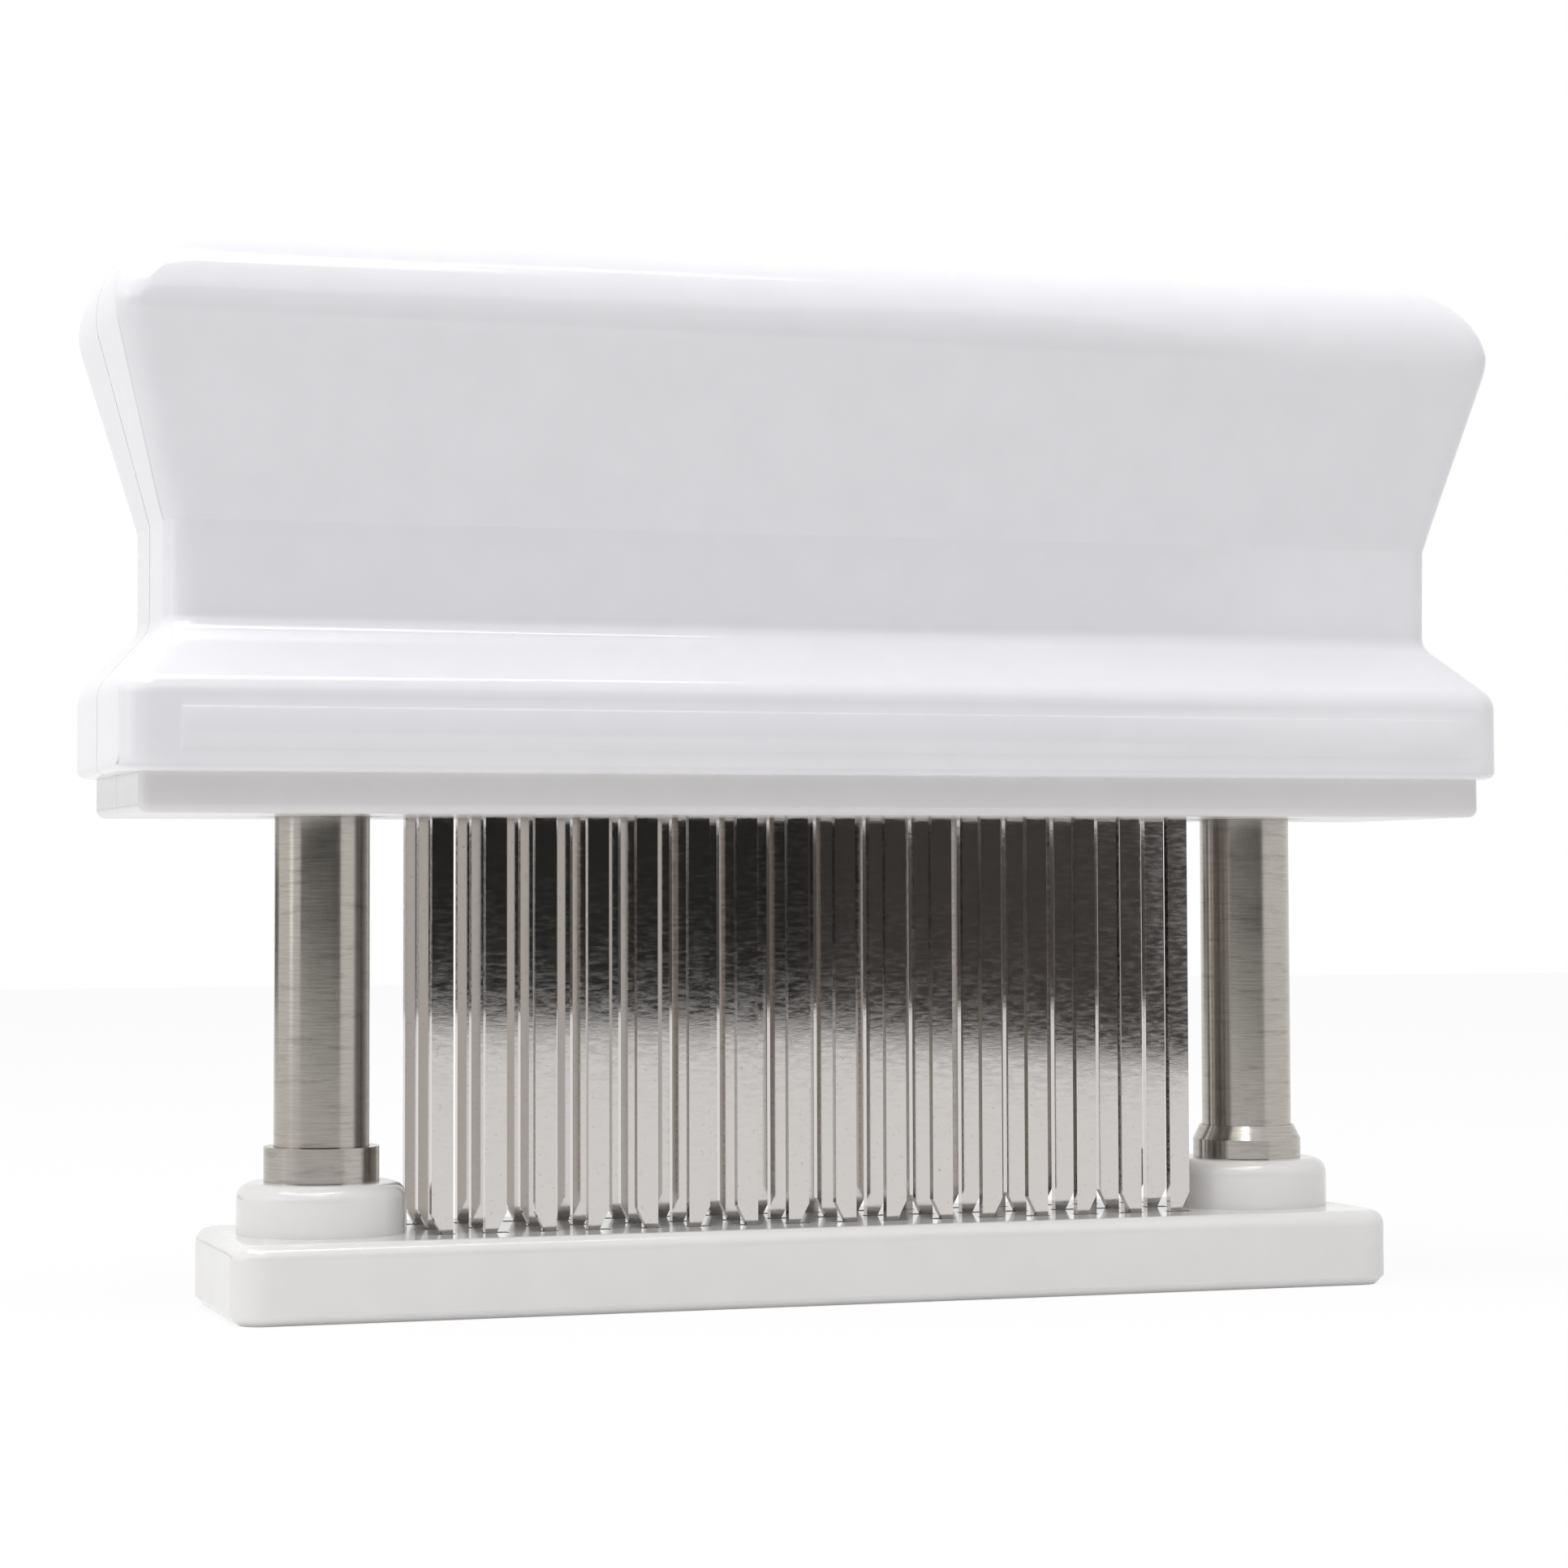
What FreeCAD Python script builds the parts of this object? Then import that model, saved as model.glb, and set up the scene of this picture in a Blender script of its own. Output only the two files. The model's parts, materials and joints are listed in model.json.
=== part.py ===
import FreeCAD, Part
import math
import os
import Sketcher
from FreeCAD import Vector

# Blade meat tenderizer: a grip with 48 sprung blades over a slotted base plate on two posts.
# X runs along the length, -Y is the front, Z is up, and the plate's underside is z = 0.

doc = FreeCAD.newDocument("tenderizer")
sheet = doc.addObject("Spreadsheet::Sheet", "sizes")

# Driving dimensions in millimetres
drivingSizes = {
    # base plate and its two bosses
    "plateHalfLong": 61.4, "plateHalfDeep": 13.0, "plateThick": 7.8, "plateCorner": 3.2,
    "plateTopRound": 1.5, "plateFootChamfer": 0.9, "bossRadius": 8.45, "bossTall": 5.1,
    "bossRound": 1.6, "plateSkin": 3.6,
    # posts, with the collar that stops the stroke and the ring that stops the return
    "postSpacing": 101.0, "postRadius": 4.76, "postWall": 1.0, "springFloor": 14.0,
    "postAboveRing": 1.4, "ringThick": 1.0, "ringRadius": 6.8, "ringGrooveDeep": 0.55,
    "ringSlit": 3.0, "collarRadius": 5.75, "collarTall": 3.5, "collarShoulder": 1.5,
    "plateScrewRadius": 2.0, "plateScrewHead": 3.8, "plateScrewLong": 11.0, "screwSunk": 0.3,
    # blades: three rows of sixteen
    "rowStep": 6.1, "columnCount": 16, "columnStep": 5.28, "columnShift": 0.18,
    "bladeWide": 2.18, "bladeThick": 1.0, "bladeTipZ": 7.4, "bevelWide": 1.25,
    "bevelTall": 2.4, "headWide": 3.4, "headTall": 2.0,
    # housing outline, each size measured on the outside
    "flangeHalfLong": 73.0, "flangeHalfDeep": 17.0, "flangeBottomZ": 53.2, "flangeCorner": 3.0,
    "shoulderLowZ": 61.8, "shoulderHighZ": 67.6, "waistHalfLong": 67.9, "waistHalfDeep": 10.4,
    "waistTopZ": 77.8, "waistCorner": 2.4, "gripHalfLong": 76.0, "gripHalfDeep": 17.6,
    "gripTopZ": 107.0, "gripRound": 8.5, "gripCorner": 2.6, "crownCorner": 6.0,
    "shoulderRound": 3.0, "waistRound": 2.5, "creaseRound": 1.5, "shellWall": 1.9,
    "seamWide": 0.3, "seamDeep": 0.4,
    # frame that closes the housing and guides blades and posts
    "frameBottomZ": 49.2, "frameTopZ": 56.4, "frameFootRound": 0.9, "beadZ": 54.5,
    "beadTall": 1.0, "beadDeep": 0.6,
    "bushRadius": 6.4, "bushFlangeRadius": 7.9, "bushFlangeThick": 1.4,
    # blade block, its cover and screws
    "blockHalfLong": 42.2, "blockHalfDeep": 8.1, "blockTopZ": 68.4, "coverThick": 2.4,
    "coverScrewX": 26.4, "coverScrewY": 3.05, "coverScrewRadius": 1.2, "coverScrewHead": 2.2,
    "coverScrewHeadTall": 1.5, "coverScrewLong": 8.5,
    # ribs, screw bosses and spring seats inside the shells
    "ribX": 34.0, "ribThick": 2.0, "lowScrewX": 62.5, "lowScrewZ": 73.5, "highScrewX": 15.0,
    "highScrewZ": 88.0, "screwBoss": 4.2, "shellScrewRadius": 1.45, "shellScrewHead": 2.8,
    "shellScrewHeadTall": 2.2, "shellScrewSeatY": 7.0, "shellScrewLong": 13.0,
    "seatRadius": 6.0, "seatThick": 3.0, "seatPegRadius": 2.2, "seatPegLong": 5.0,
    "seatRingWall": 1.6, "seatRingTall": 5.6,
    # springs inside the posts
    "springRadius": 3.3, "springWire": 0.9,
    # clearances
    "fitClear": 0.05, "runClear": 0.08, "slotClear": 0.25, "guideClear": 0.12, "stopGap": 0.25,
    "screwClear": 0.1,
}
for row, (alias, value) in enumerate(drivingSizes.items(), start=1):
    sheet.set("A%d" % row, alias)
    sheet.set("B%d" % row, str(value))
    sheet.setAlias("B%d" % row, alias)
doc.recompute()


def size(alias):
    """The present value of one cell."""
    return float(getattr(sheet, alias))


def bind(obj, **expressions):
    """Bind properties of an object to expressions on the sheet."""
    paths = {"x": "Placement.Base.x", "y": "Placement.Base.y", "z": "Placement.Base.z"}
    for prop, expression in expressions.items():
        obj.setExpression(paths.get(prop, prop), expression)
    return obj


def box(name, x, y, z, long, deep, tall):
    """A box with its lowest corner at x, y, z."""
    made = doc.addObject("Part::Box", name)
    return bind(made, x=x, y=y, z=z, Length=long, Width=deep, Height=tall)


def cylinder(name, x, y, z, radius, tall):
    """An upright cylinder that stands on x, y, z."""
    made = doc.addObject("Part::Cylinder", name)
    return bind(made, x=x, y=y, z=z, Radius=radius, Height=tall)


def cone(name, x, y, z, lowRadius, highRadius, tall):
    made = doc.addObject("Part::Cone", name)
    return bind(made, x=x, y=y, z=z, Radius1=lowRadius, Radius2=highRadius, Height=tall)


def crossCylinder(name, x, y, z, radius, long):
    """A cylinder that runs along +Y from x, y, z."""
    made = doc.addObject("Part::Cylinder", name)
    made.Placement = FreeCAD.Placement(Vector(0, 0, 0), FreeCAD.Rotation(Vector(1, 0, 0), -90))
    return bind(made, x=x, y=y, z=z, Radius=radius, Height=long)


def group(name, members):
    made = doc.addObject("Part::Compound", name)
    made.Links = members
    return made


def cut(name, base, tools):
    made = doc.addObject("Part::Cut", name)
    made.Base = base
    made.Tool = tools[0] if len(tools) == 1 else fuse(name + "_tools", tools)
    return made


def fuse(name, members):
    made = doc.addObject("Part::MultiFuse", name)
    made.Shapes = members
    return made


def common(name, first, second):
    made = doc.addObject("Part::MultiCommon", name)
    made.Shapes = [first, second]
    return made


def plane(body, role):
    return next(item for item in body.Origin.OriginFeatures if item.Role == role)


def newBody(name, x="0", y="0", z="0"):
    body = doc.addObject("PartDesign::Body", name)
    body.Label = name
    body.AllowCompound = True
    return bind(body, x=x, y=y, z=z)


def polygonSketch(body, name, role, corners):
    """A closed polygon whose corners are pairs of expressions, measured from the origin."""
    sketch = body.newObject("Sketcher::SketchObject", name)
    sketch.AttachmentSupport = [(plane(body, role), "")]
    sketch.MapMode = "FlatFace"
    values = [tuple(float(sheet.evalExpression(text)) for text in pair) for pair in corners]
    count = len(corners)
    for index, (across, up) in enumerate(values):
        nextAcross, nextUp = values[(index + 1) % count]
        sketch.addGeometry(Part.LineSegment(Vector(across, up, 0), Vector(nextAcross, nextUp, 0)))
    for index in range(count):
        sketch.addConstraint(Sketcher.Constraint("Coincident", index, 2, (index + 1) % count, 1))
    for index in range(count):
        for kind, axis in (("DistanceX", 0), ("DistanceY", 1)):
            held = sketch.addConstraint(
                Sketcher.Constraint(kind, -1, 1, index, 1, values[index][axis]))
            sketch.setExpression("Constraints[%d]" % held, corners[index][axis])
    return sketch


def circleSketch(body, name, role, centres, radius):
    """Circles of one radius about pairs of expressions."""
    sketch = body.newObject("Sketcher::SketchObject", name)
    sketch.AttachmentSupport = [(plane(body, role), "")]
    sketch.MapMode = "FlatFace"
    for index, pair in enumerate(centres):
        across, up = (float(sheet.evalExpression(text)) for text in pair)
        start = float(sheet.evalExpression(radius))
        sketch.addGeometry(Part.Circle(Vector(across, up, 0), Vector(0, 0, 1), start))
        held = sketch.addConstraint(Sketcher.Constraint("Radius", index, start))
        sketch.setExpression("Constraints[%d]" % held, radius)
        for kind, text, value in (("DistanceX", pair[0], across), ("DistanceY", pair[1], up)):
            held = sketch.addConstraint(Sketcher.Constraint(kind, -1, 1, index, 3, value))
            sketch.setExpression("Constraints[%d]" % held, text)
    return sketch


def rectangle(halfLong, halfDeep):
    return [("-(%s)" % halfLong, "-(%s)" % halfDeep), (halfLong, "-(%s)" % halfDeep),
            (halfLong, halfDeep), ("-(%s)" % halfLong, halfDeep)]


def pad(body, sketch, name, length, midplane=False):
    made = body.newObject("PartDesign::Pad", name)
    made.Profile = sketch
    made.Midplane = midplane
    made.setExpression("Length", length)
    doc.recompute()
    return made


def edgeNames(feature, wanted):
    """The names of the edges that a test picks out."""
    edges = enumerate(feature.Shape.Edges, start=1)
    return ["Edge%d" % index for index, edge in edges if wanted(edge)]


def dress(body, kind, name, feature, wanted, expression):
    """A fillet or chamfer on the picked edges of a feature."""
    made = body.newObject("PartDesign::" + kind, name)
    made.Base = (feature, edgeNames(feature, wanted))
    made.setExpression("Radius" if kind == "Fillet" else "Size", expression)
    doc.recompute()
    return made


def isUpright(edge):
    box_ = edge.BoundBox
    return box_.XLength < 1e-6 and box_.YLength < 1e-6


def liesAt(height):
    def test(edge):
        return edge.BoundBox.ZLength < 1e-6 and abs(edge.BoundBox.ZMin - height) < 1e-6
    return test


sides = {"left": "-0.5*sizes.postSpacing", "right": "0.5*sizes.postSpacing"}
signs = {"left": -1, "right": 1}
rows = {"front": "-sizes.rowStep", "middle": "0", "rear": "sizes.rowStep"}


def columnX(index):
    """The place of one blade column: the columns are drawn together in pairs."""
    shift = "-" if index % 2 == 0 else "+"
    return "(%d-0.5*(sizes.columnCount-1))*sizes.columnStep%s0.5*sizes.columnShift" % (index, shift)


def slots(name, wide, thick, bottom, tall):
    """One slot for every blade, as a group of boxes."""
    cells = []
    for index in range(int(size("columnCount"))):
        for row, rowY in rows.items():
            cells.append(box("%s_%s_%d" % (name, row, index + 1),
                             "%s-0.5*(%s)" % (columnX(index), wide),
                             "%s-0.5*(%s)" % (rowY, thick), bottom, wide, thick, tall))
    return group(name, cells)


# Base plate
plate = newBody("plate_body")
plateSketch = polygonSketch(plate, "plate_outline", "XY_Plane",
                            rectangle("sizes.plateHalfLong", "sizes.plateHalfDeep"))
platePad = pad(plate, plateSketch, "plate_pad", "sizes.plateThick")
plateCorners = dress(plate, "Fillet", "plate_corners", platePad, isUpright, "sizes.plateCorner")
plateTop = dress(plate, "Fillet", "plate_top_round", plateCorners, liesAt(size("plateThick")),
                 "sizes.plateTopRound")
dress(plate, "Chamfer", "plate_foot", plateTop, liesAt(0.0), "sizes.plateFootChamfer")
bossTopZ = "(sizes.plateThick+sizes.bossTall)"
bosses = newBody("boss_body", z="sizes.plateThick-1")
bossSketch = circleSketch(bosses, "boss_outline", "XY_Plane",
                          [(x, "0") for x in sides.values()], "sizes.bossRadius")
bossPad = pad(bosses, bossSketch, "boss_pad", "sizes.bossTall+1")
dress(bosses, "Fillet", "boss_round", bossPad, liesAt(size("bossTall") + 1), "sizes.bossRound")
screwHeadTall = "(sizes.plateScrewHead-sizes.plateScrewRadius)"
plateHoles = []
for side, postX in sides.items():
    plateHoles += [
        cylinder("seat_bore_" + side, postX, "0", "sizes.plateSkin",
                 "sizes.postRadius+sizes.fitClear", "sizes.plateThick+sizes.bossTall"),
        cylinder("screw_hole_" + side, postX, "0", "-1",
                 "sizes.plateScrewRadius+sizes.screwClear", "sizes.plateSkin+2"),
        cone("screw_sink_" + side, postX, "0", "0",
             "sizes.plateScrewHead+sizes.screwSunk+sizes.screwClear",
             "sizes.plateScrewRadius+sizes.screwClear", "%s+sizes.screwSunk" % screwHeadTall)]
bladeSlots = slots("plate_slots", "(sizes.bladeWide+2*sizes.slotClear)",
                   "(sizes.bladeThick+2*sizes.slotClear)", "-1", "(sizes.plateThick+2)")
basePlate = cut("base_plate", fuse("plate_with_bosses", [plate, bosses]),
                plateHoles + [bladeSlots])

# Posts: a hollow rod with a solid threaded foot and a groove for the stop ring
ringZ = "(sizes.frameTopZ+sizes.bushFlangeThick+sizes.stopGap)"
postTopZ = "(%s+sizes.ringThick+sizes.postAboveRing)" % ringZ
parts = {"base_plate": basePlate}
for side, postX in sides.items():
    rod = cylinder("post_rod_" + side, postX, "0", "sizes.plateSkin", "sizes.postRadius",
                   postTopZ + "-sizes.plateSkin")
    bore = cylinder("post_bore_" + side, postX, "0", "sizes.springFloor",
                    "sizes.postRadius-sizes.postWall", postTopZ)
    thread = cylinder("post_thread_" + side, postX, "0", "0",
                      "sizes.plateScrewRadius+sizes.fitClear",
                      "sizes.screwSunk+sizes.plateScrewLong+0.5")
    groove = cut("post_groove_" + side,
                 cylinder("groove_outer_" + side, postX, "0", ringZ + "-sizes.fitClear",
                          "sizes.postRadius+1", "sizes.ringThick+2*sizes.fitClear"),
                 [cylinder("groove_inner_" + side, postX, "0", ringZ + "-1",
                           "sizes.postRadius-sizes.ringGrooveDeep", "sizes.ringThick+2")])
    parts["post_" + side] = cut("post_" + side, rod, [bore, thread, groove])

    # the collar is stepped on the left post and shouldered on the right one
    collarBore = cylinder("collar_bore_" + side, postX, "0", bossTopZ,
                          "sizes.postRadius+sizes.fitClear", "sizes.collarTall")
    if side == "left":
        collarSolid = cylinder("collar_solid_" + side, postX, "0", bossTopZ,
                               "sizes.collarRadius", "sizes.collarTall")
    else:
        collarSolid = fuse("collar_solid_" + side, [
            cylinder("collar_skirt_" + side, postX, "0", bossTopZ, "sizes.collarRadius",
                     "sizes.collarTall-sizes.collarShoulder"),
            cone("collar_flare_" + side, postX, "0",
                 "%s+sizes.collarTall-sizes.collarShoulder" % bossTopZ, "sizes.collarRadius",
                 "sizes.postRadius+0.25", "sizes.collarShoulder")])
    parts["collar_" + side] = cut("collar_" + side, collarSolid, [collarBore])

    ringBody = cylinder("ring_disc_" + side, postX, "0", ringZ, "sizes.ringRadius",
                        "sizes.ringThick")
    ringHole = cylinder("ring_hole_" + side, postX, "0", ringZ + "-1",
                        "sizes.postRadius-sizes.ringGrooveDeep+sizes.fitClear",
                        "sizes.ringThick+2")
    ringSlit = box("ring_slit_" + side, postX + "-0.5*sizes.ringSlit", "0", ringZ + "-1",
                   "sizes.ringSlit", "sizes.ringRadius+1", "sizes.ringThick+2")
    parts["stop_ring_" + side] = cut("stop_ring_" + side, ringBody, [ringHole, ringSlit])

    # countersunk screw from under the plate into the foot of the post
    parts["plate_screw_" + side] = fuse("plate_screw_" + side, [
        cone("screw_cone_" + side, postX, "0", "sizes.screwSunk", "sizes.plateScrewHead",
             "sizes.plateScrewRadius", screwHeadTall),
        cylinder("screw_shank_" + side, postX, "0", "sizes.screwSunk", "sizes.plateScrewRadius",
                 "sizes.plateScrewLong")])

    # spring inside the post, from its floor up to the seat under the grip's ceiling
    ceilingZ = "(sizes.gripTopZ-sizes.shellWall)"
    springTall = "%s-sizes.seatThick-sizes.springFloor" % ceilingZ
    parts["spring_" + side] = cut("spring_" + side,
        cylinder("spring_outer_" + side, postX, "0", "sizes.springFloor", "sizes.springRadius",
                 springTall),
        [cylinder("spring_inner_" + side, postX, "0", "sizes.springFloor-1",
                  "sizes.springRadius-sizes.springWire", springTall + "+2")])
    parts["spring_seat_" + side] = fuse("spring_seat_" + side, [
        cylinder("seat_disc_" + side, postX, "0", ceilingZ + "-sizes.seatThick",
                 "sizes.seatRadius", "sizes.seatThick"),
        cylinder("seat_peg_" + side, postX, "0", ceilingZ + "-sizes.seatThick-sizes.seatPegLong",
                 "sizes.seatPegRadius", "sizes.seatPegLong+1")])

    # flanged bush that runs on the post
    bushTall = "(sizes.frameTopZ-sizes.frameBottomZ)"
    parts["guide_bush_" + side] = cut("guide_bush_" + side,
        fuse("bush_solid_" + side, [
            cylinder("bush_sleeve_" + side, postX, "0", "sizes.frameBottomZ",
                     "sizes.bushRadius", bushTall),
            cylinder("bush_flange_" + side, postX, "0", "sizes.frameTopZ",
                     "sizes.bushFlangeRadius", "sizes.bushFlangeThick")]),
        [cylinder("bush_bore_" + side, postX, "0", "sizes.frameBottomZ-1",
                  "sizes.postRadius+sizes.runClear", bushTall + "+5")])

# Frame under the housing, split along the centre into two halves
mouthHalfLong = "(sizes.flangeHalfLong-sizes.shellWall)"
mouthHalfDeep = "(sizes.flangeHalfDeep-sizes.shellWall)"
frame = newBody("frame_body", z="sizes.frameBottomZ")
frameSketch = polygonSketch(frame, "frame_outline", "XY_Plane",
                            rectangle(mouthHalfLong + "-sizes.fitClear",
                                      mouthHalfDeep + "-sizes.fitClear"))
framePad = pad(frame, frameSketch, "frame_pad", "sizes.frameTopZ-sizes.frameBottomZ")
frameCorners = dress(frame, "Fillet", "frame_corners", framePad, isUpright,
                     "sizes.flangeCorner-sizes.shellWall")
dress(frame, "Fillet", "frame_foot", frameCorners, liesAt(0.0), "sizes.frameFootRound")
frameGroove = cut("frame_groove",
    box("groove_block", "-" + mouthHalfLong + "-1", "-" + mouthHalfDeep + "-1",
        "sizes.beadZ-sizes.fitClear", "2*%s+2" % mouthHalfLong, "2*%s+2" % mouthHalfDeep,
        "sizes.beadTall+2*sizes.fitClear"),
    [box("groove_core", "-" + mouthHalfLong + "+sizes.beadDeep+sizes.fitClear",
         "-" + mouthHalfDeep + "+sizes.beadDeep+sizes.fitClear", "sizes.beadZ-1",
         "2*(%s-sizes.beadDeep-sizes.fitClear)" % mouthHalfLong,
         "2*(%s-sizes.beadDeep-sizes.fitClear)" % mouthHalfDeep, "sizes.beadTall+2")])
frameTools = [frameGroove,
              slots("frame_slots", "(sizes.bladeWide+2*sizes.guideClear)",
                    "(sizes.bladeThick+2*sizes.guideClear)", "sizes.frameBottomZ-1",
                    "(sizes.frameTopZ-sizes.frameBottomZ+2)")]
for side, postX in sides.items():
    frameTools.append(cylinder("frame_bore_" + side, postX, "0", "sizes.frameBottomZ-1",
                               "sizes.bushRadius+sizes.fitClear",
                               "sizes.frameTopZ-sizes.frameBottomZ+2"))
frameWhole = cut("frame_whole", frame, frameTools)
halves = {}
for half, lowY in (("front", "-100"), ("rear", "0")):
    halves[half] = box("half_space_" + half, "-100", lowY, "0", "200", "100", "200")
    parts["blade_frame_" + half] = common("blade_frame_" + half, frameWhole, halves[half])

# Blades: one column is a front, a middle and a rear blade, bevelled on alternate sides
bladeTall = "(sizes.blockTopZ-sizes.bladeTipZ)"
headLow = "(%s-sizes.headTall)" % bladeTall
for index in range(int(size("columnCount"))):
    name = "blade_column_%02d" % (index + 1)
    column = newBody(name, x=columnX(index), y="-sizes.rowStep", z="sizes.bladeTipZ")
    toTheLeft = index % 2 == 0
    half = "0.5*sizes.bladeWide"
    bevelEnd = half + "-sizes.bevelWide"
    tip = [("-(%s)" % bevelEnd, "0"), (half, "0")] if toTheLeft else [("-" + half, "0"),
                                                                   (bevelEnd, "0")]
    rightSide = [] if toTheLeft else [(half, "sizes.bevelTall")]
    leftSide = [("-" + half, "sizes.bevelTall")] if toTheLeft else []
    head = [(half, headLow), ("0.5*sizes.headWide", headLow), ("0.5*sizes.headWide", bladeTall),
            ("-0.5*sizes.headWide", bladeTall), ("-0.5*sizes.headWide", headLow),
            ("-" + half, headLow)]
    outline = polygonSketch(column, name + "_outline", "XZ_Plane",
                            tip + rightSide + head + leftSide)
    blade = pad(column, outline, name + "_blade", "sizes.bladeThick", midplane=True)
    repeat = column.newObject("PartDesign::LinearPattern", name + "_rows")
    repeat.Originals = [blade]
    repeat.Direction = (plane(column, "Y_Axis"), [""])
    repeat.setExpression("Length", "2*sizes.rowStep")
    repeat.Occurrences = len(rows)
    column.Tip = repeat
    parts[name] = column

# Block that holds the blade heads, its cover and the cover's screws
coverZ = "sizes.blockTopZ"
blockTools = [
    slots("block_slots", "(sizes.bladeWide+2*sizes.fitClear)",
          "(sizes.bladeThick+2*sizes.fitClear)", "sizes.frameTopZ-1",
          "(sizes.blockTopZ-sizes.frameTopZ)"),
    slots("head_slots", "(sizes.headWide+2*sizes.fitClear)",
          "(sizes.bladeThick+2*sizes.fitClear)", "sizes.blockTopZ-sizes.headTall",
          "(sizes.headTall+1)")]
coverTools = []
coverScrews = []
for xSign in (-1, 1):
    for ySign in (-1, 1):
        place = ("%d*sizes.coverScrewX" % xSign, "%d*sizes.coverScrewY" % ySign)
        tag = "%s_%s" % ("left" if xSign < 0 else "right", "front" if ySign < 0 else "rear")
        shankZ = "sizes.blockTopZ+sizes.coverThick-sizes.coverScrewLong"
        blockTools.append(cylinder("block_hole_" + tag, *place, shankZ + "-0.5",
                                   "sizes.coverScrewRadius+sizes.fitClear",
                                   "sizes.coverScrewLong+2"))
        coverTools.append(cylinder("cover_hole_" + tag, *place, coverZ + "-1",
                                   "sizes.coverScrewRadius+0.15", "sizes.coverThick+2"))
        coverScrews += [cylinder("cover_shank_" + tag, *place, shankZ, "sizes.coverScrewRadius",
                                 "sizes.coverScrewLong+0.5"),
                        cylinder("cover_head_" + tag, *place, coverZ + "+sizes.coverThick",
                                 "sizes.coverScrewHead", "sizes.coverScrewHeadTall")]
parts["blade_block"] = cut("blade_block",
    box("block_solid", "-sizes.blockHalfLong", "-sizes.blockHalfDeep", "sizes.frameTopZ",
        "2*sizes.blockHalfLong", "2*sizes.blockHalfDeep", "sizes.blockTopZ-sizes.frameTopZ"),
    blockTools)
parts["block_cover"] = cut("block_cover",
    box("cover_solid", "-sizes.blockHalfLong", "-sizes.blockHalfDeep", coverZ,
        "2*sizes.blockHalfLong", "2*sizes.blockHalfDeep", "sizes.coverThick"), coverTools)
parts["cover_screws"] = fuse("cover_screws", coverScrews)


# Housing: level outlines joined into one solid
def levelWire(halfLong, halfDeep, corner, height):
    """A rounded rectangle at one height, with four sides and four quarter arcs."""
    inLong, inDeep = halfLong - corner, halfDeep - corner
    knee = corner * math.sqrt(0.5)
    edges = []
    for xSign, ySign in ((1, -1), (1, 1), (-1, 1), (-1, -1)):
        cornerX, cornerY = xSign * inLong, ySign * inDeep
        onSide = Vector(xSign * halfLong, cornerY, height)
        onFace = Vector(cornerX, ySign * halfDeep, height)
        middle = Vector(cornerX + xSign * knee, cornerY + ySign * knee, height)
        first, last = (onFace, onSide) if xSign * ySign < 0 else (onSide, onFace)
        edges.append(Part.Arc(first, middle, last).toShape())
    joined = []
    for index, arc in enumerate(edges):
        following = edges[(index + 1) % 4]
        joined.append(arc)
        joined.append(Part.makeLine(arc.lastVertex().Point, following.firstVertex().Point))
    return Part.Wire(joined)


def roundedPath(corners, radii, steps):
    """Points along a path of straight runs whose corners are rounded by arcs of some steps."""
    points = [corners[0]]
    for before, here, after, radius, count in zip(corners, corners[1:], corners[2:], radii, steps):
        back, ahead = (before - here).normalize(), (after - here).normalize()
        half = 0.5 * back.getAngle(ahead)
        centre = here + (back + ahead).normalize() * (radius / math.sin(half))
        start = here + back * (radius / math.tan(half)) - centre
        end = here + ahead * (radius / math.tan(half)) - centre
        sweep = start.getAngle(end)
        for step in range(count + 1):
            share = step / count
            arm = start * math.sin((1 - share) * sweep) + end * math.sin(share * sweep)
            points.append(centre + arm * (1 / math.sin(sweep)))
    points.append(corners[-1])
    return points


def housingProfile(name, inset, bottom, steps):
    """Half size against height on one side of the housing, moved in by the inset."""
    flange, waist, grip = (size(name % item) - inset for item in ("flange", "waist", "grip"))
    corners = [Vector(flange, bottom, 0), Vector(flange, size("shoulderLowZ"), 0),
               Vector(waist, size("shoulderHighZ"), 0), Vector(waist, size("waistTopZ"), 0),
               Vector(grip, size("gripTopZ") - inset, 0), Vector(0, size("gripTopZ") - inset, 0)]
    radii = [size("shoulderRound"), size("waistRound"), size("creaseRound"),
             size("gripRound") - inset]
    return roundedPath(corners, radii, steps)[:-1]


def halfSizeAt(profile, height):
    for low, high in zip(profile, profile[1:]):
        if low.y - 1e-9 <= height <= high.y + 1e-9:
            share = (height - low.y) / (high.y - low.y) if high.y - low.y > 1e-9 else 1.0
            return low.x + (high.x - low.x) * share
    return profile[-1].x


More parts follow.
